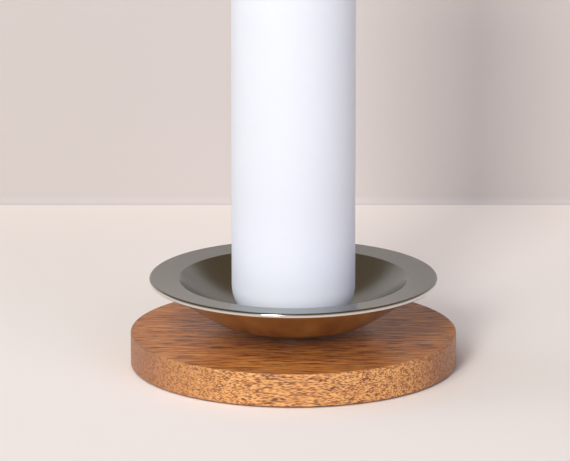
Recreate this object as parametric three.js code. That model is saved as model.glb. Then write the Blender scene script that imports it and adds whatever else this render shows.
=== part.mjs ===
// Pricket candlestick: a round wooden base, a turned metal dish that its own foot carries clear of
// the wood, and a turned spike that clamps the stack together and holds a pillar candle upright.
// Millimetres, +Z up. The origin lies under the middle of the base, on the surface it stands on.

import * as THREE from 'three';

// Base: a disc of hardwood on four thin felt dots.
const base_radius = 66;
const base_thickness = 13.4;
const base_edge_radius = 0.6;
const pad_radius = 6;
const pad_thickness = 0.6;
const pad_count = 4;
const pad_inset = 14;

// Dish, turned from solid: a foot, a flat and conical underside, a wide rim with a rounded lip,
// and a bowl that is part of a sphere about a flat floor. Slopes are in degrees from level.
const foot_radius = 11;
const foot_height = 4.5;
const foot_chamfer = 0.5;
const underside_radius = 25.7;
const underside_bend_radius = 16.8;
const underside_slope = 33.7;
const floor_thickness = 2;
const floor_radius = 10.5;
const mouth_radius = 46.8;
const mouth_edge_radius = 1;
const rim_radius = 58.4;
const rim_height = 22.65;
const rim_thickness = 2.1;
const rim_slope = 4;
const lip_radius = 1;

// Spike, turned in one piece: a taper, a collar that clamps the dish, and a plain stud below.
const spike_length = 30;
const spike_foot_radius = 3;
const spike_fillet = 1.5;
const spike_tip_radius = 0.4;
const collar_radius = 9;
const collar_thickness = 1.2;
const collar_chamfer = 0.4;
const stud_radius = 2.5;
const stud_beyond_nut = 0.8;
const stud_chamfer = 0.5;

// What the stud passes through and what tightens on it.
const washer_radius = 6.25;
const washer_thickness = 1.2;
const washer_chamfer = 0.2;
const nut_across_flats = 8;
const nut_height = 4;
const counterbore_depth = 7;

// Candle: a round pillar with a soft lower edge, bored for the spike and for its wick.
const candle_radius = 25;
const candle_height = 200;
const candle_foot_width = 8.5;
const candle_foot_height = 12;
const candle_shoulder_radius = 4;
const candle_well_radius = 12;
const candle_well_depth = 1;
const wick_radius = 1.1;
const wick_above = 11;
const wick_lean = 2.2;

// Clearances.
const hole_clearance = 0.3;
const spike_clearance = 0.3;
const spike_end_clearance = 2;
const counterbore_clearance = 0.75;
const wick_clearance = 0.3;

// Smoothness: flat facets around a full turn, and the largest turn of a bend in one facet.
const facets_wide = 60;
const facets_narrow = 30;
const facets_wick = 10;
const wick_steps = 48;
const bend_step = 10;
const edge_step = 30;

// Heights of the faces that the pieces meet on.
const base_bottom = pad_thickness;
const base_top = base_bottom + base_thickness;
const underside_bottom = base_top + foot_height;
const dish_floor = underside_bottom + floor_thickness;
const rim_top = base_top + rim_height;
const collar_top = dish_floor + collar_thickness;
const spike_tip = collar_top + spike_length;
const counterbore_top = base_bottom + counterbore_depth;
const nut_top = counterbore_top - washer_thickness;
const nut_bottom = nut_top - nut_height;
const candle_bottom = collar_top;
const candle_top = candle_bottom + candle_height;
const well_bottom = candle_top - candle_well_depth;
const wick_bottom = spike_tip + spike_end_clearance;

// Radii of the holes that the stud and the wick pass through.
const stud_hole_radius = stud_radius + hole_clearance;
const wick_bore_radius = wick_radius + wick_clearance;

const sine = (degrees) => Math.sin(THREE.MathUtils.degToRad(degrees));
const cosine = (degrees) => Math.cos(THREE.MathUtils.degToRad(degrees));
const climb = (degrees) => Math.tan(THREE.MathUtils.degToRad(degrees));

// Points [r, z] on a quarter of an ellipse about a centre, between two angles in degrees.
function arc([r, z], [across, up], from, to, step = bend_step) {
  const count = Math.max(2, Math.ceil(Math.abs(to - from) / step));
  return Array.from({ length: count + 1 }, (_, i) => {
    const angle = from + ((to - from) * i) / count;
    return [r + across * cosine(angle), z + up * sine(angle)];
  });
}

// A solid of revolution about Z. The profile lists [r, z] with the outside going up. It starts
// and ends on the axis or, for a piece with a hole through it, is closed back to its start.
function turned(profile, facets) {
  const outline = profile.map(([r, z]) => new THREE.Vector2(r, z));
  if (profile[0][0] > 0) outline.push(outline[0].clone());
  return new THREE.LatheGeometry(outline, facets).rotateX(Math.PI / 2);
}

// The wooden disc, drilled for the stud and counterbored below for the washer and the nut.
function woodBase() {
  const counterbore_radius = washer_radius + counterbore_clearance;
  const edge = [base_edge_radius, base_edge_radius];
  const edge_centre = base_radius - base_edge_radius;
  return turned([
    [counterbore_radius, base_bottom],
    ...arc([edge_centre, base_bottom + base_edge_radius], edge, -90, 0, edge_step),
    ...arc([edge_centre, base_top - base_edge_radius], edge, 0, 90, edge_step),
    [stud_hole_radius, base_top],
    [stud_hole_radius, counterbore_top],
    [counterbore_radius, counterbore_top],
  ], facets_wide);
}

// The underside, from the foot out to where its cone meets the underside of the rim. The rim's
// underside runs on below the rim at the same slope.
function dishUnderside(rim_under_edge) {
  const bend = arc([underside_radius, underside_bottom + underside_bend_radius],
    [underside_bend_radius, underside_bend_radius], -90, underside_slope - 90);
  const [cone_r, cone_z] = bend[bend.length - 1];
  const [edge_r, edge_z] = rim_under_edge;
  const rise = climb(underside_slope) - climb(rim_slope);
  const meeting = cone_r + (edge_z + (cone_r - edge_r) * climb(rim_slope) - cone_z) / rise;
  return [
    [stud_hole_radius, base_top],
    [foot_radius - foot_chamfer, base_top],
    [foot_radius, base_top + foot_chamfer],
    [foot_radius, underside_bottom],
    ...bend,
    [meeting, cone_z + (meeting - cone_r) * climb(underside_slope)],
  ];
}

// The bowl, from the rim inwards: a rounded mouth, then part of a sphere that ends level at the
// floor's edge. The sphere's radius is the one that touches both the mouth's round and the floor.
function dishBowl(mouth_top) {
  const reach = mouth_radius - floor_radius;
  const round_z = mouth_top - mouth_edge_radius / cosine(rim_slope);
  const depth = round_z - dish_floor;
  const bowl_radius = (reach ** 2 + depth ** 2 - mouth_edge_radius ** 2)
    / (2 * (depth + mouth_edge_radius));
  const mouth_slope = THREE.MathUtils.radToDeg(Math.asin(reach / (bowl_radius + mouth_edge_radius)));
  const sphere = arc([floor_radius, dish_floor + bowl_radius], [bowl_radius, bowl_radius],
    mouth_slope - 90, -90, bend_step / 2);
  return [
    ...arc([mouth_radius, round_z], [mouth_edge_radius, mouth_edge_radius],
      90 + rim_slope, 90 + mouth_slope, edge_step / 2),
    ...sphere.slice(1),
    [stud_hole_radius, dish_floor],
  ];
}

// The dish. Its rim climbs gently outwards to a lip that is rounded below and above.
function dish() {
  const lip = [lip_radius, lip_radius];
  const lip_r = rim_radius - lip_radius;
  const lip_low = rim_top - rim_thickness + lip_radius;
  const lip_high = rim_top - lip_radius;
  const lower_round = arc([lip_r, lip_low], lip, rim_slope - 90, 0, edge_step);
  const upper_round = arc([lip_r, lip_high], lip, 0, 90 + rim_slope, edge_step);
  const [rim_r, rim_z] = upper_round[upper_round.length - 1];
  const mouth_top = rim_z - (rim_r - mouth_radius) * climb(rim_slope);
  return turned([
    ...dishUnderside(lower_round[0]),
    ...lower_round,
    ...upper_round,
    ...dishBowl(mouth_top),
  ], facets_wide);
}

// Spike, collar and stud, turned from one bar. The collar presses the dish's foot onto the wood.
function pricket() {
  const stud_bottom = nut_bottom - stud_beyond_nut;
  return turned([
    [0, stud_bottom],
    [stud_radius - stud_chamfer, stud_bottom],
    [stud_radius, stud_bottom + stud_chamfer],
    [stud_radius, dish_floor],
    [collar_radius, dish_floor],
    [collar_radius, collar_top - collar_chamfer],
    [collar_radius - collar_chamfer, collar_top],
    ...arc([spike_foot_radius + spike_fillet, collar_top + spike_fillet], [spike_fillet, spike_fillet],
      270, 180, edge_step),
    ...arc([0, spike_tip - spike_tip_radius], [spike_tip_radius, spike_tip_radius], 0, 90, edge_step),
  ], facets_narrow);
}

// A flat washer whose outer edges are broken by a chamfer.
function washer() {
  return turned([
    [stud_hole_radius, nut_top],
    [washer_radius - washer_chamfer, nut_top],
    [washer_radius, nut_top + washer_chamfer],
    [washer_radius, counterbore_top - washer_chamfer],
    [washer_radius - washer_chamfer, counterbore_top],
    [stud_hole_radius, counterbore_top],
  ], facets_narrow);
}

// A hexagonal nut with its hole.
function hexNut() {
  const corner_radius = nut_across_flats / 2 / cosine(30);
  const outline = new THREE.Shape(Array.from({ length: 6 }, (_, i) => (
    new THREE.Vector2(corner_radius * cosine(60 * i), corner_radius * sine(60 * i)))));
  outline.holes.push(new THREE.Path().absarc(0, 0, stud_hole_radius, 0, 2 * Math.PI, true));
  return new THREE.ExtrudeGeometry(outline, {
    depth: nut_height,
    bevelEnabled: false,
    curveSegments: facets_narrow,
  });
}

// The pillar candle. Its bore is a tapered socket for the spike, and goes on up as the wick's
// bore into a shallow well in the top. The well is one half wave of a cosine.
function candle() {
  const shoulder = [candle_shoulder_radius, candle_shoulder_radius];
  const well_steps = 6;
  const well = Array.from({ length: well_steps + 1 }, (_, i) => {
    const r = candle_well_radius + ((wick_bore_radius - candle_well_radius) * i) / well_steps;
    const share = (r - wick_bore_radius) / (candle_well_radius - wick_bore_radius);
    return [r, candle_top - (candle_well_depth * (1 + cosine(180 * share))) / 2];
  });
  return turned([
    [spike_foot_radius + spike_fillet + spike_clearance, candle_bottom],
    ...arc([candle_radius - candle_foot_width, candle_bottom + candle_foot_height],
      [candle_foot_width, candle_foot_height], -90, 0),
    ...arc([candle_radius - candle_shoulder_radius, candle_top - candle_shoulder_radius],
      shoulder, 0, 90, edge_step / 2),
    ...well,
    [wick_bore_radius, spike_tip],
    [spike_foot_radius + spike_clearance, candle_bottom + spike_fillet + spike_clearance],
  ], facets_wide);
}

// The line of the wick: straight up its bore, then leaning over by the square of its height.
class WickLine extends THREE.Curve {
  getPoint(t, target = new THREE.Vector3()) {
    const z = wick_bottom + t * (candle_top + wick_above - wick_bottom);
    const free = Math.max(0, z - well_bottom) / (wick_above + candle_well_depth);
    return target.set(wick_lean * free * free, 0, z);
  }
}

function wick() {
  const section = new THREE.Shape(Array.from({ length: facets_wick }, (_, i) => {
    const angle = (360 * i) / facets_wick;
    return new THREE.Vector2(wick_radius * cosine(angle), wick_radius * sine(angle));
  }));
  return new THREE.ExtrudeGeometry(section, { extrudePath: new WickLine(), steps: wick_steps });
}

const looks = {
  wood: { color: 0xa5683a, roughness: 0.55, metalness: 0 },
  satin_metal: { color: 0x9a9990, roughness: 0.32, metalness: 1 },
  bright_metal: { color: 0xb4b3ae, roughness: 0.25, metalness: 1 },
  wax: { color: 0xebebf2, roughness: 0.5, metalness: 0 },
  cotton: { color: 0xf1eee4, roughness: 0.9, metalness: 0 },
  felt: { color: 0x3a332c, roughness: 0.95, metalness: 0 },
};

function piece(name, geometry, look) {
  const mesh = new THREE.Mesh(geometry, new THREE.MeshStandardMaterial(looks[look]));
  mesh.name = name;
  return mesh;
}

const holder = new THREE.Group();
holder.add(
  piece('wood_base', woodBase(), 'wood'),
  piece('dish', dish(), 'satin_metal'),
  piece('pricket', pricket(), 'bright_metal'),
  piece('washer', washer(), 'bright_metal'),
);

const nut = piece('nut', hexNut(), 'bright_metal');
nut.position.z = nut_bottom;
holder.add(nut);

for (let i = 0; i < pad_count; i += 1) {
  const angle = (360 * (i + 0.5)) / pad_count;
  const reach = base_radius - pad_inset;
  const disc = new THREE.CylinderGeometry(pad_radius, pad_radius, pad_thickness, facets_narrow);
  const pad = piece(`pad_${i + 1}`, disc.rotateX(Math.PI / 2), 'felt');
  pad.position.set(reach * cosine(angle), reach * sine(angle), pad_thickness / 2);
  holder.add(pad);
}

const pillar = new THREE.Group();
pillar.add(piece('candle', candle(), 'wax'), piece('wick', wick(), 'cotton'));

const candlestick = new THREE.Group();
candlestick.add(holder, pillar);

export default candlestick;
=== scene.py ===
# %% [markdown]
# # A pricket candlestick
# A pricket is a spike that a candle is pressed down on. This one stands in a turned metal dish
# that catches the drips, and the dish's foot carries it clear of a round wooden base. The
# construction is already made, so this lesson loads it, dresses each piece with a fine surface
# and a finish, and lights it softly on a pale table.

# %% The fixed frame
import math

import bpy
import numpy as np
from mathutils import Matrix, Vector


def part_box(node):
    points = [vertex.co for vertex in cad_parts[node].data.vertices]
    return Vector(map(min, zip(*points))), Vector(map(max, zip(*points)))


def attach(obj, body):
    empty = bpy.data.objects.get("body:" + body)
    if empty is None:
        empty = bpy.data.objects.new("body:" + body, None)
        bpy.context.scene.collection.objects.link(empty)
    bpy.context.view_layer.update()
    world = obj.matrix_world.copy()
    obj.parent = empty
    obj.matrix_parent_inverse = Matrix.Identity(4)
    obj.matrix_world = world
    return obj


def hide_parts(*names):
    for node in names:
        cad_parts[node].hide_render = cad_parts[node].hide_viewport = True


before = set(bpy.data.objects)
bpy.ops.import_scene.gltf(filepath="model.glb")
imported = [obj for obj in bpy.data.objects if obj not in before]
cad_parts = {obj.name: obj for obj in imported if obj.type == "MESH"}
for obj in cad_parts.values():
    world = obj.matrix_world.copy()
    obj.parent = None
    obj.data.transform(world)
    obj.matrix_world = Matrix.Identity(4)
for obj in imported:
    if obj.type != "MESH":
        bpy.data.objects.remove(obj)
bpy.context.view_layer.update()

MM = 0.001

# %% [markdown]
# ## The camera
# A long lens from a few paces away keeps the candle's sides upright, as in the photograph. Its
# distance and pitch were solved from the ellipses of the base and of the dish. The camera is
# made first, so that every later step can be judged from the same place.

# %% The camera
PHOTO_WIDTH = 570
FOCAL_PIXELS = 6000
SENSOR_WIDTH = 36.0
CAMERA_DISTANCE = 2.434
CAMERA_ELEVATION = math.radians(15.49)
CAMERA_PITCH = math.radians(14.54)
CAMERA_SIDE = -3.4 * MM
FAR_CLIP = 30.0
AIM_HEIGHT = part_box("wood_base")[1].z

camera = bpy.data.objects.new("photo_camera", bpy.data.cameras.new("photo_camera"))
camera.data.sensor_width = SENSOR_WIDTH
camera.data.lens = FOCAL_PIXELS / PHOTO_WIDTH * SENSOR_WIDTH
camera.data.clip_end = FAR_CLIP
camera.location = (
    CAMERA_SIDE,
    -CAMERA_DISTANCE * math.cos(CAMERA_ELEVATION),
    AIM_HEIGHT + CAMERA_DISTANCE * math.sin(CAMERA_ELEVATION),
)
camera.rotation_euler = (math.pi / 2 - CAMERA_PITCH, 0.0, 0.0)
bpy.context.scene.collection.objects.link(camera)
bpy.context.scene.camera = camera
bpy.context.scene.view_settings.view_transform = "Standard"
print("lens", round(camera.data.lens, 1), "mm")

# %% [markdown]
# ## A mesh from a grid of points
# Nearly every piece here is turned on a lathe or drawn along a line, so its surface is a grid:
# one direction runs along the outline, the other runs round the axis. One helper makes faces
# between neighbouring points of a grid, with index arithmetic on whole arrays, and another puts
# them into a mesh.

# %% Grids
def grid_faces(rows, columns, close_rows, close_columns):
    """Corner indices of the quads of a grid. Point (i, j) has the number i * columns + j. Where a
    direction closes, its last line meets the first."""
    i = np.arange(rows if close_rows else rows - 1)[:, None]
    j = np.arange(columns if close_columns else columns - 1)[None, :]
    i, j = np.broadcast_arrays(i, j)
    this_row, next_row = i * columns, (i + 1) % rows * columns
    next_j = (j + 1) % columns
    quads = [this_row + j, this_row + next_j, next_row + next_j, next_row + j]
    return np.stack(quads, -1).reshape(-1, 4)


def new_mesh(name, points, faces):
    """An object at the origin whose smooth mesh has the given points, in metres, and faces."""
    mesh = bpy.data.meshes.new(name)
    mesh.from_pydata(points, [], faces)
    mesh.polygons.foreach_set("use_smooth", np.ones(len(mesh.polygons), bool))
    mesh.update()
    piece = bpy.data.objects.new(name, mesh)
    bpy.context.scene.collection.objects.link(piece)
    return piece


print("a closed grid of 3 by 4 points has", len(grid_faces(3, 4, True, True)), "faces")

# %% [markdown]
# ## Lathe work
# A turned piece is one outline carried round its axis. Where the outline starts and ends on the
# axis, one point there closes the surface, and where it doesn't, the outline is a loop of its
# own and the piece has a hole through it.

# %% Lathe work
FINE = 240
COARSE = 96


def all_round(count):
    """Angles evenly spaced round the axis. The last stops one step short of the first."""
    return np.linspace(0.0, 2 * math.pi, count, endpoint=False)


def turn(radius, height, angle, centre=(0.0, 0.0)):
    """Points at a radius, height and angle about an upright axis: x = r cos(a), y = r sin(a)."""
    radius, height, angle = np.broadcast_arrays(radius, height, angle)
    x = centre[0] + radius * np.cos(angle)
    y = centre[1] + radius * np.sin(angle)
    return np.stack([x, y, height], -1)


def skin(name, rings, poles=None):
    """A closed surface over rings of points, in millimetres, shaped (rings, around, 3). Each end is
    closed by a pole, or, without poles, the last ring meets the first."""
    rows, around = rings.shape[:2]
    points = rings.reshape(-1, 3)
    faces = grid_faces(rows, around, poles is None, True).tolist()
    if poles is not None:
        points = np.vstack([points, poles])
        j = np.arange(around)
        after = (j + 1) % around
        top = (rows - 1) * around
        low_pole, high_pole = rows * around, rows * around + 1
        faces += np.stack([np.full(around, low_pole), after, j], -1).tolist()
        faces += np.stack([np.full(around, high_pole), top + j, top + after], -1).tolist()
    return new_mesh(name, points * MM, faces)


def lathe(name, outline, around=FINE, centre=(0.0, 0.0)):
    """An outline of points (r, z) turned about an upright axis. It lists the outside from below to
    above, and closes on itself or starts and ends on the axis."""
    outline = np.asarray(outline, float)
    poled = outline[0, 0] == 0.0
    body = outline[1:-1] if poled else outline
    rings = turn(body[:, :1], body[:, 1:], all_round(around), centre)
    poles = np.array([[*centre, z] for z in outline[[0, -1], 1]]) if poled else None
    return skin(name, rings, poles)


print("points round a piece:", FINE, "or", COARSE, "where it is small")

# %% [markdown]
# ## Outlines with eased corners
# No real edge is perfectly sharp. An outline is written as its few corners, each with the radius
# it is eased by, and this helper replaces every corner by an arc that touches both sides. It
# also sets a point close to each end of the arc, which keeps the shading of the flats flat.

# %% Eased corners
ARC_STEP = math.radians(11.0)
FEWEST_STEPS = 3
HOLD = 0.12


def eased(corners, closed=True):
    """Corners (r, z, radius) joined by straight lines. At a corner that turns by an angle, the arc
    starts radius * tan(angle / 2) before it, and its centre lies a radius away, square to the
    line."""
    corner = np.array([c[:2] for c in corners], float)
    ahead = np.roll(corner, -1, 0) - corner
    ahead /= np.linalg.norm(ahead, axis=1)[:, None]
    behind = np.roll(ahead, 1, 0)
    outline = []
    for k, (_, _, radius) in enumerate(corners):
        end = not closed and k in (0, len(corners) - 1)
        into, out = behind[k], ahead[k]
        angle = math.atan2(into[0] * out[1] - into[1] * out[0], float(into @ out))
        if end or not radius:
            outline.append(corner[k][None])
            continue
        reach = radius * math.tan(abs(angle) / 2)
        inward = math.copysign(1.0, angle) * np.array([-into[1], into[0]])
        centre = corner[k] - reach * into + radius * inward
        count = max(FEWEST_STEPS, math.ceil(abs(angle) / ARC_STEP))
        t = np.linspace(0.0, abs(angle), count + 1)[:, None]
        bend = centre + radius * (np.sin(t) * into - np.cos(t) * inward)
        hold = min(HOLD, reach / 2)
        outline.append(np.vstack([bend[0] - hold * into, bend, bend[-1] + hold * out]))
    return np.vstack(outline)


square = [(1, 0, 0.2), (3, 0, 0.2), (3, 2, 0.2), (1, 2, 0.2)]
print("an eased square has", len(eased(square)), "points")

# %% Arcs and straights
WIDE_ARC_STEP = 6.0


def arc(centre, radius, start, end, step=WIDE_ARC_STEP):
    """Points of an outline on a circle about (r, z), between two angles in degrees from level. Like
    an eased corner, it runs on straight for a moment at both ends."""
    count = max(FEWEST_STEPS, math.ceil(abs(end - start) / step))
    t = np.radians(np.linspace(start, end, count + 1))[:, None]
    points = np.array(centre) + radius * np.hstack([np.cos(t), np.sin(t)])
    along = math.copysign(HOLD, end - start) * np.hstack([-np.sin(t), np.cos(t)])
    return np.vstack([points[0] - along[0], points, points[-1] + along[-1]])


def straight(start, end, count):
    """Points evenly spaced on a straight line between two (r, z) points, its two ends left out."""
    t = np.linspace(0.0, 1.0, count + 2)[1:-1, None]
    return np.asarray(start, float) * (1 - t) + np.asarray(end, float) * t


print("a quarter circle has", len(arc((0.0, 0.0), 1.0, 0.0, 90.0)), "points")

# %% [markdown]
# ## Writing finishes as sums
# A finish is a small computation: noise, distances and masks, multiplied and added. Here a
# socket of the node tree is wrapped in a class, so that an ordinary expression such as
# `1 - mask * 0.5` adds the Math nodes by itself. All other nodes come from one method, and the
# few that come back in every finish have a short name of their own.

# %% A value in a finish
class Term:
    """A value in a finish. The operators between terms and numbers add Math nodes."""

    def __init__(self, finish, socket):
        self.finish, self.socket = finish, socket

    def __add__(self, other):
        return self.finish.math("ADD", self, other)

    def __sub__(self, other):
        return self.finish.math("SUBTRACT", self, other)

    def __rsub__(self, other):
        return self.finish.math("SUBTRACT", other, self)

    def __mul__(self, other):
        return self.finish.math("MULTIPLY", self, other)

    def __truediv__(self, other):
        return self.finish.math("DIVIDE", self, other)

    def __pow__(self, other):
        return self.finish.math("POWER", self, other)

    __radd__ = __add__
    __rmul__ = __mul__


print(Term.__doc__)

# %% A finish
X, Y, Z = range(3)


class Finish:
    """A node material with one Principled shader, or the node tree of another owner."""

    def __init__(self, name, owner=None):
        self.material = owner or bpy.data.materials.new(name)
        self.material.use_nodes = True
        self.tree = self.material.node_tree
        self.shader = self.tree.nodes.get("Principled BSDF")

    def node(self, kind, settings=None, inputs=None, output=0):
        """Adds a node, makes its settings, fills or links its sockets, and returns one output."""
        made = self.tree.nodes.new("ShaderNode" + kind)
        for key, value in (settings or {}).items():
            setattr(made, key, value)
        for key, value in (inputs or {}).items():
            self.feed(made.inputs[key], value)
        return Term(self, made.outputs[output])

    def feed(self, socket, value):
        """Links a term to a socket, or sets a plain value on it."""
        if isinstance(value, Term):
            self.tree.links.new(value.socket, socket)
        else:
            socket.default_value = value

    def math(self, operation, *values):
        """One Math node on terms and numbers."""
        return self.node("Math", {"operation": operation}, dict(enumerate(values)))

    def mix(self, a, b, factor, mode="MIX"):
        """Colour a turned into colour b by a factor."""
        settings = {"data_type": "RGBA", "blend_type": mode, "clamp_factor": True}
        return self.node("Mix", settings, {0: factor, 6: a, 7: b}, output=2)

    def between(self, value, low, high):
        """0 where the value is below low, 1 above high, and a smooth step between them. With low
        above high, it falls from 1 to 0 the other way round."""
        settings = {"interpolation_type": "SMOOTHSTEP"}
        return self.node("MapRange", settings, {"Value": value, "From Min": low, "From Max": high})

    def place(self, steps=(1.0, 1.0, 1.0), offset=(0.0, 0.0, 0.0)):
        """The place on the piece, counted along each axis in steps of so many millimetres."""
        point = self.node("TexCoord", output="Object")
        scale = tuple(1 / (step * MM) for step in steps)
        return self.node("Mapping", None, {"Vector": point, "Scale": scale, "Location": offset})

    def part(self, vector, axis):
        """The part of a vector that lies along one axis."""
        return self.node("SeparateXYZ", None, {"Vector": vector}, output=axis)

    def from_axis(self):
        """The distance from the upright axis in millimetres, the root of x * x + y * y."""
        place = self.place()
        x, y = self.part(place, X), self.part(place, Y)
        return (x * x + y * y) ** 0.5

    def noise(self, lengths=(1.0, 1.0, 1.0), offset=(0.0, 0.0, 0.0), detail=2.0, roughness=0.5):
        """Noise whose shapes are about as long, along each axis, as the given millimetres."""
        inputs = {"Vector": self.place(lengths, offset), "Scale": 1.0}
        return self.node("TexNoise", None, {**inputs, "Detail": detail, "Roughness": roughness})

    def lines(self, distance, per_mm, detail):
        """Noise along one distance only, as the fine lines that a tool leaves on turned metal."""
        inputs = {"W": distance, "Scale": per_mm, "Detail": detail}
        return self.node("TexNoise", {"noise_dimensions": "1D"}, inputs)

    def bump(self, height, depth_mm, strength):
        """A normal from a height between 0 and 1, whose full height stands for a depth."""
        inputs = {"Height": height, "Distance": depth_mm * MM, "Strength": strength}
        return self.node("Bump", None, inputs, output="Normal")

    def finish(self, **sockets):
        """Feeds the shader's own sockets, named with underscores for spaces."""
        for key, value in sockets.items():
            self.feed(self.shader.inputs[key.replace("_", " ")], value)
        return self.material


print(Finish.__doc__)

# %% [markdown]
# ## Colours, and dressing a piece
# A colour picked from a screen is not proportional to light, so it is turned into linear light
# before a shader counts with it. A dressed piece gets its finish and rides on one of the two
# bodies, so that it moves with it, and the nodes of the construction that it replaces are hidden.

# %% Colours
def colour(red, green, blue):
    """A screen's value c, from 0 to 1, is c / 12.92 in linear light where it is very dark, and
    ((c + 0.055) / 1.055) to the power 2.4 elsewhere."""
    c = np.array([red, green, blue]) / 255
    linear = np.where(c <= 0.04045, c / 12.92, ((c + 0.055) / 1.055) ** 2.4)
    return tuple(float(v) for v in linear)


def rgba(*screen):
    """A screen's colour, 0 to 255, in linear light and opaque."""
    return (*colour(*screen), 1.0)


print("half grey on a screen is", round(colour(128, 128, 128)[0], 3), "in linear light")

# %% Dressing a piece
HOLDER, PILLAR = "holder", "pillar"


def dress(piece, material, body, slot, *nodes):
    """Gives a piece its finish, sets it on its body and hides the construction nodes it replaces.
    """
    piece.data.materials.clear()
    piece.data.materials.append(material)
    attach(piece, body)
    if nodes:
        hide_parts(*nodes)
    print(piece.name, len(piece.data.polygons), "faces on", body)


def levels(node):
    """The lowest and highest level of a node, in millimetres."""
    low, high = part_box(node)
    return low.z / MM, high.z / MM


def widest(node):
    """The largest radius of a turned node, in millimetres."""
    low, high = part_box(node)
    return (high.y - low.y) / 2 / MM


print("the object's top is", round(levels("wick")[1], 2), "mm above the table")

# %% [markdown]
# ## The wooden base: its surface
# The base is a slice of oiled hardwood, turned flat and only just eased at its edges. Below, a
# counterbore hides the washer and the nut. A cylinder could be cut and bevelled to the same form,
# but its outline is only six corners, so the lathe makes it in one closed surface.

# %% The base's surface
STUD_HOLE = 2.8
COUNTERBORE = 7.0
BASE_EASE, COUNTERBORE_EASE, STUD_HOLE_EASE = 0.6, 0.3, 0.1
base_low, base_high = levels("wood_base")
base_radius = widest("wood_base")
counterbore_roof = levels("washer")[1]

base_outline = eased([
    (COUNTERBORE, base_low, COUNTERBORE_EASE),
    (base_radius, base_low, BASE_EASE),
    (base_radius, base_high, BASE_EASE),
    (STUD_HOLE, base_high, STUD_HOLE_EASE),
    (STUD_HOLE, counterbore_roof, 0.0),
    (COUNTERBORE, counterbore_roof, 0.0),
])
wood_base = lathe("turned_wood_base", base_outline)
print("base", round(base_high - base_low, 2), "mm thick, outline of", len(base_outline), "points")

# %% [markdown]
# ## The wooden base: rings and pores
# A picture of a board would have to be cut and joined at every edge. But wood is a solid, so its
# figure is computed in space and the surface only cuts through it, and top, side and end grain
# meet correctly. The grain runs along X. Growth rings are cylinders about the tree's heart, which
# lies below this slice, bent by slow noise. Pores are small bodies drawn out along the grain: on
# the front they show as dashes, and towards the ends of the disc, where the cut crosses the
# grain, as dots.

# %% The growth rings
RING_WIDTH = 6.5
HEART_Y, HEART_Z = 38.0, -62.0
SWAY_Y, SWAY_Z = 14.0, 9.0
RING_WOBBLE = 0.9
LATE_FROM, LATE_TO = 0.3, 0.95


def late_wood(f):
    """The distance from the heart over the ring's width, whose fraction is the time of the year.
    The darker late wood grows in slowly and stops at once."""
    sway = f.noise((90.0, 40.0, 40.0), detail=1.0) - 0.5
    place = f.place()
    out_y = f.part(place, Y) - HEART_Y + sway * SWAY_Y
    out_z = f.part(place, Z) - HEART_Z + sway * SWAY_Z
    ring = (out_y * out_y + out_z * out_z) ** 0.5 / RING_WIDTH
    ring = ring + f.noise((80.0, 7.0, 7.0)) * RING_WOBBLE
    year = f.math("FRACT", ring)
    return f.between(year, LATE_FROM, LATE_TO) - f.between(year, LATE_TO, 1.0)


front_edge = math.hypot(base_radius + HEART_Y, base_high - HEART_Z)
print("rings from the heart to the front edge: about", round(front_edge / RING_WIDTH))

# %% The pores
PORE_WIDTH = 0.53
PORE_LENGTH = PORE_WIDTH * 4.5
PORE_HEIGHT = PORE_WIDTH / 1.3
PORE_CORE, PORE_EDGE = 0.215, 0.43
CLEAR_BAND = (0.4515, 0.731)


def nearest_pore(f):
    """How far off the nearest pore's middle is. A Voronoi pattern has one in each of its cells, and
    a cell is as long, wide and high as the room of a pore, so 1 is about one such room."""
    cells = {"Vector": f.place((PORE_LENGTH, PORE_WIDTH, PORE_HEIGHT)), "Scale": 1.0}
    return f.node("TexVoronoi", {"feature": "F1"}, cells, output="Distance")


print("room of a pore:", [round(v, 2) for v in (PORE_LENGTH, PORE_WIDTH, PORE_HEIGHT)], "mm")

# %% [markdown]
# ## The wooden base: its finish
# Fibres and streaks are noise drawn out along the grain. Only a few masks add to the solid
# figure. By the radius: sanding has closed most pores of the flat faces, and the flat faces are
# painted darker and more orange than the side, as painted shade, since less light falls on them.
# By the place along X: the end grain is browner, with fainter pores, and on the left of the side
# the tone is darker and fewer pores are open. The tones are then laid over each other one by one,
# each with the share of it that shows.

# %% The base's finish
EARLY_TONE, LATE_TONE = rgba(204, 136, 74), rgba(184, 112, 56)
DARK_STREAK, PALE_STREAK = rgba(132, 72, 34), rgba(218, 162, 98)
DARK_FIBRE, PALE_FIBRE = rgba(102, 50, 22), rgba(222, 160, 98)
PATCH_TONE = rgba(158, 91, 50)
CLEAR_TONE = rgba(240, 182, 108)
LEFT_SIDE_DARK_TONE = rgba(150, 92, 50)
PORE_TONE = rgba(104, 50, 16)
END_TONE = rgba(142, 90, 58)
# Painted shade: the flat faces are multiplied darker and more orange than the side, as less light
# falls on them.
FLATS_PAINTED_SHADE, SIDE_UNSHADED = (0.91, 0.77, 0.51, 1.0), (1.0, 1.0, 1.0, 1.0)
SIDE_BAND = (base_radius - 1.1, base_radius - 0.4)
END_BAND = (46.0, 60.0)
# On the left of the side the tone is darker and fewer pores are open.
LEFT_SIDE_BAND = (-22.0, -46.0)


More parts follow.
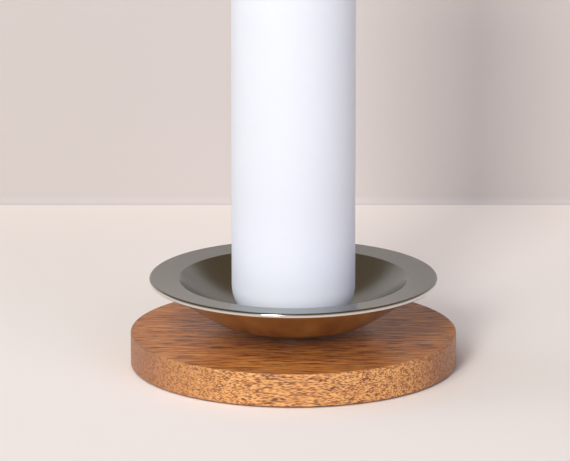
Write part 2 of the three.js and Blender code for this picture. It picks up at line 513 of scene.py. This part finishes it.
def oiled_wood():
    """Each layer is the tone so far turned into the layer's tone by its share. Noise stays mostly
    between 0.3 and 0.7, so the bands that cut shapes out of it lie about 0.5."""
    f = Finish("oiled_wood")
    fibre = f.noise((12.0, 1.2, 1.0), detail=3.0, roughness=0.65)
    streak = f.noise((60.0, 2.2, 2.6), offset=(7.0, 3.0, 1.0), detail=3.0, roughness=0.6)
    patch = f.noise((50.0, 24.0, 24.0), offset=(2.0, 9.0, 4.0), detail=1.0)

    x = f.part(f.place(), X)
    side = f.between(f.from_axis(), *SIDE_BAND)
    end_grain = side * f.between(f.math("ABSOLUTE", x), *END_BAND)
    left_side = f.between(x, *LEFT_SIDE_BAND)

    reach = nearest_pore(f)
    crowd = f.between(f.noise((34.0, 6.0, 6.0), offset=(5.0, 2.0, 8.0)), 0.25, 0.6)
    kept_open = (1 - end_grain * 0.7) * (1 - left_side * 0.5)
    open_share = (crowd * 0.35 + 0.65) * (side * 0.85 + 0.15) * kept_open
    pore = (1 - f.between(reach, PORE_CORE, PORE_EDGE)) * open_share
    clear = f.between(reach, *CLEAR_BAND) * side * (1 - end_grain)

    tone = EARLY_TONE
    for layer, share in [
        (LATE_TONE, late_wood(f) * 0.5),
        (DARK_STREAK, f.between(streak, 0.48, 0.66) * 0.5),
        (PALE_STREAK, f.between(streak, 0.5, 0.34) * 0.5),
        (PATCH_TONE, f.between(patch, 0.5, 0.78) * 0.4),
        (DARK_FIBRE, f.between(fibre, 0.49, 0.6) * 0.85),
        (PALE_FIBRE, f.between(fibre, 0.48, 0.38) * 0.7),
        (CLEAR_TONE, clear * 0.65),
        (LEFT_SIDE_DARK_TONE, left_side * side * 0.35),
        (PORE_TONE, pore * 0.92),
        (END_TONE, end_grain * 0.55),
    ]:
        tone = f.mix(tone, layer, share)

    height = 1 - pore * 0.85 - f.between(fibre, 0.45, 0.75) * 0.15
    return f.finish(
        # The flat faces get painted shade, the side keeps its tone.
        Base_Color=f.mix(tone, f.mix(FLATS_PAINTED_SHADE, SIDE_UNSHADED, side), 1.0, "MULTIPLY"),
        Roughness=0.38 + fibre * 0.12 + pore * 0.3,
        Specular_IOR_Level=0.6,
        Normal=f.bump(height, depth_mm=0.05, strength=0.6),
    )


dress(wood_base, oiled_wood(), HOLDER, "oiled_wood", "wood_base")

# %% [markdown]
# ## The dish: its surface
# The dish is turned from solid metal, so its two faces need not follow each other. A thin sheet
# that is given a wall couldn't do that, so both faces are drawn as one outline. Below, a foot
# carries it clear of the wood, and a flat and a cone run out to the rim. Above, the bowl is part
# of a sphere. The sphere has to touch the flat floor and the rounded mouth of the bowl, and that
# alone sets its radius: its middle is a radius above the floor, and a radius plus the mouth's
# rounding away from the middle of that rounding, which Pythagoras turns into one equation.

# %% The dish's sizes
DISH_FOOT_RADIUS, DISH_FOOT_HEIGHT = 11.0, 4.5
FOOT_EASE, FOOT_FILLET = 0.5, 0.6
UNDERSIDE_RADIUS, UNDERSIDE_BEND, UNDERSIDE_SLOPE = 25.7, 16.8, 33.7
MEETING_EASE = 1.0
FLOOR_THICKNESS, FLOOR_RADIUS = 2.0, 10.5
MOUTH_RADIUS, MOUTH_ROUND = 46.8, 1.0
RIM_THICKNESS, RIM_SLOPE, LIP_ROUND = 2.1, 4.0, 1.0
BOWL_STEP = 1.5
dish_low, dish_high = levels("dish")
dish_radius = widest("dish")
dish_underside = dish_low + DISH_FOOT_HEIGHT
dish_floor = dish_underside + FLOOR_THICKNESS
print("dish floor at", round(dish_floor, 2), "mm, rim at", round(dish_high, 2), "mm")


# %% The dish's underside
def dish_underside_line(under_lip):
    """The foot, the flat, its bend and the cone. Two lines of known slope meet where r = (r1 * cone
    - r2 * rim + z2 - z1) / (cone - rim), with the slopes as tangents."""
    bend_middle = (UNDERSIDE_RADIUS, dish_underside + UNDERSIDE_BEND)
    bend = arc(bend_middle, UNDERSIDE_BEND, -90.0, UNDERSIDE_SLOPE - 90.0)
    cone, rim = (math.tan(math.radians(slope)) for slope in (UNDERSIDE_SLOPE, RIM_SLOPE))
    (start_r, start_z), (end_r, end_z) = bend[-1], under_lip
    meet_r = (start_r * cone - end_r * rim + end_z - start_z) / (cone - rim)
    meet_z = end_z + (meet_r - end_r) * rim
    foot = eased([
        (STUD_HOLE, dish_low, 0.0),
        (DISH_FOOT_RADIUS, dish_low, FOOT_EASE),
        (DISH_FOOT_RADIUS, dish_underside, FOOT_FILLET),
        (UNDERSIDE_RADIUS, dish_underside, 0.0),
    ], closed=False)[:-1]
    meeting = eased([
        (start_r, start_z, 0.0),
        (meet_r, meet_z, MEETING_EASE),
        (end_r, end_z, 0.0),
    ], closed=False)
    print("cone and rim meet", round(meet_r, 2), "mm out")
    return np.vstack([foot, bend, meeting[1:-1]])


# %% The dish's bowl
def dish_bowl_line(mouth_top):
    """The mouth's rounding and the sphere. The middle of the rounding lies a reach out from the
    floor's edge and a depth above the floor. With the rounding's radius e, the sphere's radius is
    (reach^2 + depth^2 - e^2) / (2 (depth + e))."""
    reach = MOUTH_RADIUS - FLOOR_RADIUS
    round_z = mouth_top - MOUTH_ROUND / math.cos(math.radians(RIM_SLOPE))
    depth = round_z - dish_floor
    radius = (reach**2 + depth**2 - MOUTH_ROUND**2) / (2 * (depth + MOUTH_ROUND))
    slope = math.degrees(math.asin(reach / (radius + MOUTH_ROUND)))
    print("bowl radius", round(radius, 2), "mm, slope at the mouth", round(slope, 1), "degrees")
    mouth = arc((MOUTH_RADIUS, round_z), MOUTH_ROUND, 90.0 + RIM_SLOPE, 90.0 + slope)
    sphere = arc((FLOOR_RADIUS, dish_floor + radius), radius, slope - 90.0, -90.0, BOWL_STEP)
    return np.vstack([mouth[:-1], sphere[2:], [(STUD_HOLE, dish_floor)]])


# %% The dish, turned
lip_r = dish_radius - LIP_ROUND
lip_low_z = dish_high - RIM_THICKNESS + LIP_ROUND
lip_high_z = dish_high - LIP_ROUND
lip_below = arc((lip_r, lip_low_z), LIP_ROUND, RIM_SLOPE - 90.0, 0.0)[:-1]
lip_above = arc((lip_r, lip_high_z), LIP_ROUND, 0.0, 90.0 + RIM_SLOPE)[1:]
rim_drop = (lip_above[-1, 0] - MOUTH_RADIUS) * math.tan(math.radians(RIM_SLOPE))
underside = dish_underside_line(lip_below[0])
bowl = dish_bowl_line(lip_above[-1, 1] - rim_drop)
dish = lathe("turned_dish", np.vstack([underside, lip_below, lip_above, bowl]))

# %% [markdown]
# ## The dish: its finish
# The upper face is satin, and the lip and the underside are polished. Two materials would meet in
# a hard line, so each point carries a number instead that says how polished it is. It is stored
# on the mesh as an attribute: 0 on the upper face, 1 on the underside, and on the lip's upper
# half how far the surface has turned outward. The polish begins near the top of the lip, but the
# lip's upper part keeps the dark tone of the upper face, which paints a dark reflection line along
# it, and the bright bare metal begins only near its outermost line.
# The lip is the brightest, since everything rubs on it: the underside inside it is a little
# rougher, so that it mirrors the wood as a soft glow.

# %% Where the dish is polished
outward = np.clip((lip_above[:, 0] - lip_r) / LIP_ROUND, 0.0, 1.0)
polish = np.concatenate([np.ones(len(underside) + len(lip_below)), outward, np.zeros(len(bowl))])
attribute = dish.data.attributes.new("polish", "FLOAT", "POINT")
attribute.data.foreach_set("value", np.repeat(polish, FINE).astype(np.float32))
print("polished rings", int((polish == 1).sum()), "of", len(polish))

# %% The dish's finish
SATIN_DARK, SATIN_PALE = (0.18, 0.195, 0.182, 1.0), (0.243, 0.258, 0.24, 1.0)
BARE_METAL = (0.70, 0.70, 0.69, 1.0)
SATIN_ENDS = 0.2
# Painted reflection: below this much polish the lip keeps the dark tone, a dark line along its top.
DARK_LINE_END, BARE_METAL_FULL = 0.72, 0.92
RUBBED_BAND = (dish_radius - 2.0, dish_radius - 6.0)


def satin_nickel():
    """Tone and roughness by the polish, with turned lines, clouds and fine grit in the satin."""
    f = Finish("satin_nickel")
    radius = f.from_axis()
    groove = f.lines(radius, per_mm=3.1, detail=3.0)
    cloud = f.noise((14.0, 14.0, 14.0), detail=3.0)
    grit = f.noise()
    polished = f.node("Attribute", {"attribute_name": "polish"}, output="Fac")
    satin = 1 - f.between(polished, 0.0, SATIN_ENDS)
    tone = f.mix(SATIN_DARK, SATIN_PALE, cloud * 0.6 + grit * 0.4)
    below = (1 - satin) * f.between(radius, *RUBBED_BAND)
    return f.finish(
        # The lip's upper part keeps the dark satin tone: a painted dark reflection line.
        Base_Color=f.mix(tone, BARE_METAL, f.between(polished, DARK_LINE_END, BARE_METAL_FULL)),
        Metallic=1.0,
        Roughness=0.13 + below * 0.09 + satin * (0.06 + cloud * 0.04 + groove * 0.04),
        Normal=f.bump(groove * satin + cloud * 0.2, depth_mm=0.014, strength=0.6),
    )


dress(dish, satin_nickel(), HOLDER, "satin_nickel", "dish")

# %% [markdown]
# ## The spike and what it clamps
# The spike, its collar and its stud are one turned bar of steel. The collar presses the dish's
# foot on the wood, and a washer and a nut pull the stud tight from below. The stud's thread could
# be cut out of it with a swept tool, but a wave on its radius gives nearly the same form at once.
# Turned steel shows fine rings about its axis, which the finish adds as a shallow bump.

# %% Turned steel
def turned_steel():
    """The rings are noise along the distance from the axis plus the height."""
    f = Finish("turned_steel")
    height = f.part(f.place(), Z)
    ring = f.lines(f.from_axis() + height, per_mm=6.0, detail=2.0)
    tint = f.noise((5.0, 5.0, 5.0))
    return f.finish(
        Base_Color=f.mix(rgba(182, 181, 178), rgba(200, 199, 196), tint),
        Metallic=1.0,
        Roughness=0.2 + ring * 0.12,
        Normal=f.bump(ring, depth_mm=0.01, strength=0.4),
    )


steel = turned_steel()
print(steel.name, "has", len(steel.node_tree.nodes), "nodes")

# %% The stud's thread
STUD_RADIUS = 2.5
STUD_CHAMFER = 0.45
THREAD_PITCH = 0.8
THREAD_DEPTH = 0.42
THREAD_TOP = 12.0
THREAD_RINGS = 210
stud_low, spike_high = levels("pricket")


def threaded_rings(angle):
    """Rings at the stud's radius less the thread's depth times a wave of height / pitch - angle /
    turn. The thread fades out under the plain shank, and a chamfer starts it."""
    height = np.linspace(stud_low, THREAD_TOP, THREAD_RINGS)[:, None]
    wave = 0.5 + 0.5 * np.cos(2 * math.pi * height / THREAD_PITCH - angle)
    fade = np.clip((THREAD_TOP - height) / THREAD_PITCH, 0.0, 1.0)
    radius = STUD_RADIUS - THREAD_DEPTH * wave * fade
    chamfer = STUD_RADIUS - STUD_CHAMFER + (height - stud_low)
    return turn(np.minimum(radius, chamfer), height, angle)


print("turns of the thread:", round((THREAD_TOP - stud_low) / THREAD_PITCH, 1))

# %% The spike, its collar and its stud
SPIKE_FOOT, SPIKE_TIP = 3.0, 0.4
SPIKE_FILLET = 1.5
SHANK_GAP = 0.3
COLLAR_EASE_LOW, COLLAR_EASE_HIGH = 0.1, 0.4
collar_radius = widest("pricket")
collar_top = levels("candle")[0]


def pricket():
    """The threaded rings below and the turned outline above, as one closed skin."""
    angle = all_round(COARSE)
    upper = eased([
        (STUD_RADIUS, THREAD_TOP + SHANK_GAP, 0.0),
        (STUD_RADIUS, dish_floor, 0.0),
        (collar_radius, dish_floor, COLLAR_EASE_LOW),
        (collar_radius, collar_top, COLLAR_EASE_HIGH),
        (SPIKE_FOOT, collar_top, SPIKE_FILLET),
        (SPIKE_TIP, spike_high - SPIKE_TIP, SPIKE_TIP / 2),
        (0.0, spike_high, 0.0),
    ], closed=False)[:-1]
    rings = np.vstack([threaded_rings(angle), turn(upper[:, :1], upper[:, 1:], angle)])
    return skin("turned_pricket", rings, np.array([[0, 0, stud_low], [0, 0, spike_high]]))


dress(pricket(), steel, HOLDER, "plain_steel", "pricket")

# %% The washer
WASHER_EASE = 0.15
WASHER_AROUND = 2 * COARSE
washer_low, washer_high = levels("washer")
washer_radius = widest("washer")
washer_corners = [
    (STUD_HOLE, washer_low),
    (washer_radius, washer_low),
    (washer_radius, washer_high),
    (STUD_HOLE, washer_high),
]
washer_outline = eased([(*corner, WASHER_EASE) for corner in washer_corners])
washer = lathe("pressed_washer", washer_outline, WASHER_AROUND)
dress(washer, steel, HOLDER, "plain_steel", "washer")

# %% [markdown]
# ## The nut
# A hexagon is a circle whose radius swells towards six corners: half the width across flats,
# divided by the cosine of the angle from the middle of the flat. Its corners are cut by a cone
# above and below, and the hole is countersunk, as on any machined nut. A prism could be cut by
# two cones, but a formula for the radius and one for the height keep it a clean grid.

# %% The nut
NUT_FACE = 0.97
NUT_CUT = math.radians(30.0)
NUT_SINK = 0.4
NUT_CREASE = math.radians(20.0)


def hexagon_nut():
    """Rings from the hole outwards and back. The side's height is cut by a cone that starts at the
    face's radius, so it drops as the hexagon's radius grows towards a corner."""
    low, high = levels("nut")
    half_flats = widest("nut")
    sixth = math.pi / 3
    angle = all_round(COARSE)
    side = half_flats / np.cos(angle % sixth - sixth / 2)
    face = half_flats * NUT_FACE
    cut = (side - face) * math.tan(NUT_CUT)
    rows = [
        (STUD_HOLE + NUT_SINK, low),
        (face, low),
        (side, low + cut),
        (side, high - cut),
        (face, high),
        (STUD_HOLE + NUT_SINK, high),
        (STUD_HOLE, high - NUT_SINK),
        (STUD_HOLE, low + NUT_SINK),
    ]
    return skin("hexagon_nut", np.stack([turn(r, z, angle) for r, z in rows]))


nut = hexagon_nut()
nut.data.set_sharp_from_angle(angle=NUT_CREASE)
dress(nut, steel, HOLDER, "plain_steel", "nut")

# %% [markdown]
# ## The felt pads
# Four thin dots of felt keep the wood off the table, which is why a thin dark line runs under
# the base. Felt is pressed fibre, too short to be made as hairs, so its finish is fine noise in
# all directions, without shine.

# %% Felt
FLUFF = 1 / 3


def dark_felt():
    """Two noises multiplied: short fluff, and the clumps that it gathers in."""
    f = Finish("dark_felt")
    fluff = f.noise((FLUFF, FLUFF, FLUFF), detail=5.0, roughness=0.7)
    tone = f.mix(rgba(52, 46, 41), rgba(86, 78, 70), fluff * f.noise() * 1.6)
    return f.finish(
        Base_Color=tone,
        Roughness=0.95,
        Normal=f.bump(fluff, depth_mm=0.12, strength=0.9),
    )


felt = dark_felt()
print(felt.name, "has", len(felt.node_tree.nodes), "nodes")

# %% The four pads
PAD_EASE_LOW, PAD_EASE_HIGH = 0.12, 0.05

for node in sorted(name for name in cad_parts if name.startswith("pad_")):
    low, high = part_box(node)
    middle = ((low + high) / 2 / MM).to_2d()
    radius, (pad_low, pad_high) = widest(node), levels(node)
    pad_outline = eased([
        (0.0, pad_low, 0.0),
        (radius, pad_low, PAD_EASE_LOW),
        (radius, pad_high, PAD_EASE_HIGH),
        (0.0, pad_high, 0.0),
    ], closed=False)
    pad = lathe("felt_" + node, pad_outline, COARSE, tuple(middle))
    dress(pad, felt, HOLDER, "felt", node)

# %% [markdown]
# ## The candle
# A pillar candle is drawn or pressed, and its foot comes out softly rounded, more in height than
# in width, which is a quarter of an ellipse. A bevel would round it by a circle, so the outline is
# worked out instead. Inside runs a tapered socket for the spike, with the wick's bore above it.
# The top sinks in a shallow well about the wick, half a wave of a cosine.

# %% The candle's sizes
CANDLE_FOOT_WIDTH, CANDLE_FOOT_HEIGHT = 8.5, 12.0
SHOULDER = 4.0
WELL_RADIUS, WELL_DEPTH = 12.0, 1.0
BORE_RADIUS = 1.4
SOCKET_CLEARANCE = 0.3
FOOT_POINTS, SIDE_POINTS, SHOULDER_POINTS, FLAT_POINTS, WELL_POINTS = 28, 40, 14, 6, 24
candle_radius = widest("candle")
candle_low, candle_high = levels("candle")
print("candle", round(2 * candle_radius, 1), "by", round(candle_high - candle_low, 1), "mm")


# %% The candle's surface
def quarter(middle, width, height, start, count):
    """A quarter of an ellipse about (r, z): r + width * cos(t), z + height * sin(t), for a quarter
    turn of t."""
    t = np.linspace(start, start + math.pi / 2, count)
    return np.stack([middle[0] + width * np.cos(t), middle[1] + height * np.sin(t)], -1)


def candle_outline():
    """The foot's ellipse, the straight side, the shoulder's circle, the flat, the well, which sinks
    by its depth * (1 + cos(pi * share)) / 2, and the bore and socket, in that order."""
    foot_middle = (candle_radius - CANDLE_FOOT_WIDTH, candle_low + CANDLE_FOOT_HEIGHT)
    shoulder_middle = (candle_radius - SHOULDER, candle_high - SHOULDER)
    foot = quarter(foot_middle, CANDLE_FOOT_WIDTH, CANDLE_FOOT_HEIGHT, -math.pi / 2, FOOT_POINTS)
    shoulder = quarter(shoulder_middle, SHOULDER, SHOULDER, 0.0, SHOULDER_POINTS)
    side = straight(foot[-1], shoulder[0], SIDE_POINTS)
    r = np.linspace(WELL_RADIUS, BORE_RADIUS, WELL_POINTS)
    share = (r - BORE_RADIUS) / (WELL_RADIUS - BORE_RADIUS)
    well = np.stack([r, candle_high - WELL_DEPTH * (1 + np.cos(math.pi * share)) / 2], -1)
    flat = straight(shoulder[-1], well[0], FLAT_POINTS)
    socket = [
        (BORE_RADIUS, spike_high),
        (SPIKE_FOOT + SOCKET_CLEARANCE, candle_low + SPIKE_FILLET + SOCKET_CLEARANCE),
        (SPIKE_FOOT + SPIKE_FILLET + SOCKET_CLEARANCE, candle_low),
    ]
    return np.vstack([foot, side, shoulder, flat, well, socket])


candle = lathe("pillar_candle", candle_outline())
print("candle's skin has", len(candle.data.vertices), "points")

# %% [markdown]
# ## The candle's wax
# Wax is bright because light enters it and comes out again nearby. A plain white paint would
# look like chalk, so a little subsurface scattering softens the change from its lit side to its
# shaded side. Its tone carries painted light and shade: it is painted paler at the foot, against
# the shade of the dish, and a little darker upward, as painted shade that keeps the lit side just
# below white.

# %% The candle's finish
# Painted light and shade: the foot is painted paler against the dish's shade, the upper part darker
# so the lit side stays below white.
WAX_FOOT_PAINTED_LIGHT, WAX_UPPER_PAINTED_SHADE = (0.915, 0.94, 1.0, 1.0), (0.742, 0.768, 0.797, 1.0)
WAX_SHADE_HEIGHTS = (22.0, 78.0)


def white_wax():
    """Painted light and shade: the paler foot tone turned into the darker upper tone by the height,
    with soft clouds.
    """
    f = Finish("white_wax")
    cloud = f.noise((30.0, 30.0, 60.0), detail=3.0)
    ripple = f.noise((2.4, 2.4, 5.0), detail=3.0)
    height = f.part(f.place(), Z)
    painted_shading = f.between(height, *WAX_SHADE_HEIGHTS) + (cloud - 0.5) * 0.2
    return f.finish(
        # Painted light at the foot, painted shade higher up.
        Base_Color=f.mix(WAX_FOOT_PAINTED_LIGHT, WAX_UPPER_PAINTED_SHADE, painted_shading),
        Roughness=0.42 + ripple * 0.1,
        Subsurface_Weight=0.6,
        Subsurface_Radius=(1.0, 0.85, 0.75),
        Subsurface_Scale=6.0 * MM,
        Specular_IOR_Level=0.4,
        Normal=f.bump(ripple + cloud, depth_mm=0.05, strength=0.35),
    )


dress(candle, white_wax(), PILLAR, "white_wax", "candle")

# %% [markdown]
# ## The wick
# A wick is plaited cotton. Three strands wind about one line, which stands straight in its bore
# and leans over by the square of its height once it is free. A thick bent thread would do from
# afar, but three strands also hold close up, and each is only a round section carried along its
# own helix about that line.

# %% The wick
STRANDS = 3
STRAND_RADIUS = 0.56
STRAND_REACH = 0.5
STRAND_RINGS, STRAND_AROUND = 620, 10
TWIST = 4.5
WICK_LEAN = 2.2
WICK_INSET = 0.05
wick_low, wick_high = levels("wick")


def plaited_wick():
    """Line: x = lean * (free height / full free height) squared. A strand's middle is the line plus
    a reach at an angle that turns once in each twist, and its ring lies level about its middle."""
    height = np.linspace(wick_low + WICK_INSET, wick_high - WICK_INSET, STRAND_RINGS)
    free_from = candle_high - WELL_DEPTH
    free = np.clip((height - free_from) / (wick_high - free_from), 0.0, None)
    line = np.stack([WICK_LEAN * free**2, 0 * height], -1)
    angle = all_round(STRAND_AROUND)
    quads = grid_faces(STRAND_RINGS, STRAND_AROUND, False, True)
    count = STRAND_RINGS * STRAND_AROUND
    low_end = np.arange(STRAND_AROUND)[::-1]
    high_end = np.arange(count - STRAND_AROUND, count)
    points, faces = [], []
    for strand in range(STRANDS):
        turned = 2 * math.pi * (height / TWIST + strand / STRANDS)
        middle = line + STRAND_REACH * np.stack([np.cos(turned), np.sin(turned)], -1)
        x = middle[:, :1] + STRAND_RADIUS * np.cos(angle)
        y = middle[:, 1:] + STRAND_RADIUS * np.sin(angle)
        rings = np.stack(np.broadcast_arrays(x, y, height[:, None]), -1)
        points.append(rings.reshape(-1, 3))
        for corners in (quads, low_end[None], high_end[None]):
            faces += (corners + strand * count).tolist()
    return new_mesh("plaited_wick", np.vstack(points) * MM, faces)


def waxed_cotton():
    """Short noise, a little longer upwards, as the threads of a strand."""
    f = Finish("waxed_cotton")
    thread = f.noise((0.25, 0.25, 1 / 1.2), detail=4.0)
    tone = f.mix(rgba(240, 235, 222), rgba(206, 197, 176), f.between(thread, 0.42, 0.7))
    return f.finish(
        Base_Color=tone,
        Roughness=0.8,
        Normal=f.bump(thread, depth_mm=0.06, strength=0.8),
    )


dress(plaited_wick(), waxed_cotton(), PILLAR, "wick_cotton", "wick")

# %% [markdown]
# ## The table and the wall
# The object stands on a pale table in front of a pale wall, joined by a small cove. The table
# is painted a touch darker towards the wall, as painted shade. The wall is seen from the front
# only: from behind it lets the view through, so that the object can be looked at from every side.
# Their sizes are in metres.

# %% The table and the wall
TABLE_REACH = 9.0
TABLE_LINES = 13
WALL_PLACE = 0.263
WALL_HALF_WIDTH = 2.5
WALL_LINES = 5
WALL_HEIGHT = 0.2
WALL_LIFT = 0.1 * MM
COVE_RADIUS = 0.003
COVE_POINTS = 16


def table():
    """A flat grid about the object, level with the underside of the pads."""
    edge = np.linspace(-TABLE_REACH, TABLE_REACH, TABLE_LINES)
    x, y = np.meshgrid(edge, edge)
    points = np.stack([x, y, 0 * x], -1).reshape(-1, 3)
    return new_mesh("table", points, grid_faces(len(edge), len(edge), False, False).tolist())


def wall():
    """A quarter circle from the table into an upright plane, carried along X. It lies a hair above
    the table, so that the two don't share a plane."""
    t = np.linspace(0.0, math.pi / 2, COVE_POINTS)
    y = np.append(WALL_PLACE - COVE_RADIUS + COVE_RADIUS * np.sin(t), [WALL_PLACE, WALL_PLACE])
    z = np.append(COVE_RADIUS - COVE_RADIUS * np.cos(t), [WALL_HEIGHT / 2, WALL_HEIGHT])
    x = np.linspace(-WALL_HALF_WIDTH, WALL_HALF_WIDTH, WALL_LINES)
    points = np.stack(np.broadcast_arrays(x, y[:, None], z[:, None] + WALL_LIFT), -1)
    faces = grid_faces(len(y), len(x), False, False).tolist()
    return new_mesh("wall", points.reshape(-1, 3), faces)


table_top = table()
back_wall = wall()
print("table and wall have", len(table_top.data.polygons) + len(back_wall.data.polygons), "faces")

# %% Matt paint
# Painted shade: the table's far tone is darker towards the wall.
TABLE_NEAR, TABLE_FAR_PAINTED_SHADE = (0.945, 0.868, 0.79, 1.0), (0.885, 0.812, 0.742, 1.0)
WALL_TONE = (0.63, 0.575, 0.531, 1.0)
SHADE_DRIFT = (75.0, 240.0)


def painted(name, near, far, one_sided=False):
    """Matt paint whose tone drifts from the first to the second along Y. On the table the drift is
    painted shade, darker towards the wall.
    """
    f = Finish(name)
    depth = f.part(f.place(), Y)
    # On the table this drift is painted shade, darker towards the wall.
    tone = f.mix(near, far, f.between(depth, *SHADE_DRIFT))
    f.finish(Base_Color=tone, Roughness=0.9, Specular_IOR_Level=0.1)
    if one_sided:
        back = f.node("NewGeometry", output="Backfacing")
        clear = f.node("BsdfTransparent")
        front = Term(f, f.shader.outputs[0])
        mixed = f.node("MixShader", None, {0: back, 1: front, 2: clear})
        f.feed(f.tree.nodes["Material Output"].inputs["Surface"], mixed)
    return f.material


table_top.data.materials.append(painted("table_paint", TABLE_NEAR, TABLE_FAR_PAINTED_SHADE))
back_wall.data.materials.append(painted("wall_paint", WALL_TONE, WALL_TONE, one_sided=True))
print("paints", table_top.active_material.name, back_wall.active_material.name)

# %% [markdown]
# ## The room's light
# Most of the light is the room. A picture of a real room could give it, but round patches of
# light in the sky need no file and are moved by one number. The strongest is high on the left,
# and gives the thin shadow right beside the base, and cool, weaker ones from both sides round the
# candle off. Polished metal mirrors whatever stands about it, so what it sees is chosen apart: a
# pale band near the horizon under a dark brown ceiling, which gives the bowl its depth.

# %% The patches of light
FILLS = [
    # azimuth and elevation of the middle, then how far from it the patch is full and where it
    # ends, all in degrees, and the light's red, green and blue
    (-35.0, 58.0, 5.0, 18.0, (4.15, 4.05, 4.00)),
    (-35.0, 58.0, 12.0, 34.0, (0.92, 0.93, 0.92)),
    (-135.0, 55.0, 12.0, 32.0, (0.30, 0.30, 0.28)),
    (-100.0, 22.0, 12.0, 32.0, (1.48, 1.54, 2.00)),
    (38.0, 22.0, 12.0, 30.0, (1.80, 1.80, 2.30)),
]


def toward(azimuth, elevation):
    """The direction to a light. Azimuth 0 is the camera's side, positive to the right."""
    a, e = math.radians(azimuth), math.radians(elevation)
    return math.sin(a) * math.cos(e), -math.cos(a) * math.cos(e), math.sin(e)


for azimuth, elevation, *_ in FILLS:
    print("a patch towards", [round(v, 2) for v in toward(azimuth, elevation)])

# %% The room
EVERYWHERE = (0.03, 0.03, 0.033, 1.0)
HORIZON_TONE, CEILING_TONE = (0.52, 0.47, 0.42, 1.0), (0.30, 0.205, 0.13, 1.0)
CEILING_BAND = (0.42, 0.62)
BACKDROP_TONE = rgba(222, 211, 207)


def room():
    """Each fill is a soft round patch of the sky, set by the cosine of the angle to its middle.
    Metal mirrors a dark room instead, pale only near the horizon, and the camera sees a pale
    tone."""
    world = bpy.data.worlds.new("room")
    bpy.context.scene.world = world
    f = Finish("room", world)
    direction = f.node("TexCoord", output="Generated")

    def background(tone, strength=1.0):
        """Light of one tone from everywhere."""
        return f.node("Background", None, {"Color": tone, "Strength": strength})

    def either(first, second, factor):
        """The first light where the factor is 0, the second where it is 1."""
        return f.node("MixShader", None, {0: factor, 1: first, 2: second})

    lit = background(EVERYWHERE)
    for azimuth, elevation, full, end, tone in FILLS:
        both = {0: direction, 1: toward(azimuth, elevation)}
        cosine = f.node("VectorMath", {"operation": "DOT_PRODUCT"}, both, output=1)
        edge, core = (math.cos(math.radians(angle)) for angle in (end, full))
        patch = background((*tone, 1.0), f.between(cosine, edge, core))
        lit = f.node("AddShader", None, {0: lit, 1: patch})

    height = f.part(direction, Z)
    mirrored = f.mix(HORIZON_TONE, CEILING_TONE, f.between(height, *CEILING_BAND))
    glossy = f.node("LightPath", output="Is Glossy Ray")
    scattered = f.node("LightPath", output="Diffuse Depth")
    mirror_share = glossy * f.math("LESS_THAN", scattered, 0.5)
    seen = f.node("LightPath", output="Is Camera Ray")
    lit = either(lit, background(mirrored), mirror_share)
    lit = either(lit, background(BACKDROP_TONE), seen)
    f.feed(f.tree.nodes["World Output"].inputs["Surface"], lit)
    return world


sky = room()
print(sky.name, "of", len(FILLS), "patches in", len(sky.node_tree.nodes), "nodes")

# %% [markdown]
# ## The soft light
# One upright soft light stands a little left of the camera. It lights the front of the base,
# draws the glint on the lip and throws the candle's shadow on the wall. A small lamp would give
# the shadow a hard edge, so this one is an upright rectangle, as a softbox is in a studio.

# %% The soft light
LIGHT_AIM = (0.0, 0.0, 0.06)


def soft_light(name, azimuth, elevation, distance, width, height, watts):
    """An upright rectangle of light that faces the object."""
    lamp = bpy.data.lights.new(name, "AREA")
    lamp.shape, lamp.size, lamp.size_y, lamp.energy = "RECTANGLE", width, height, watts
    light = bpy.data.objects.new(name, lamp)
    light.location = np.array(LIGHT_AIM) + distance * np.array(toward(azimuth, elevation))
    light.rotation_euler = (math.radians(90.0 - elevation), 0.0, math.radians(azimuth))
    bpy.context.scene.collection.objects.link(light)
    print(name, "at", [round(v, 2) for v in light.location])


soft_light(
    "tall_softbox", azimuth=-17.5, elevation=25.0, distance=2.0, width=0.36, height=0.62, watts=20.6
)

# %% [markdown]
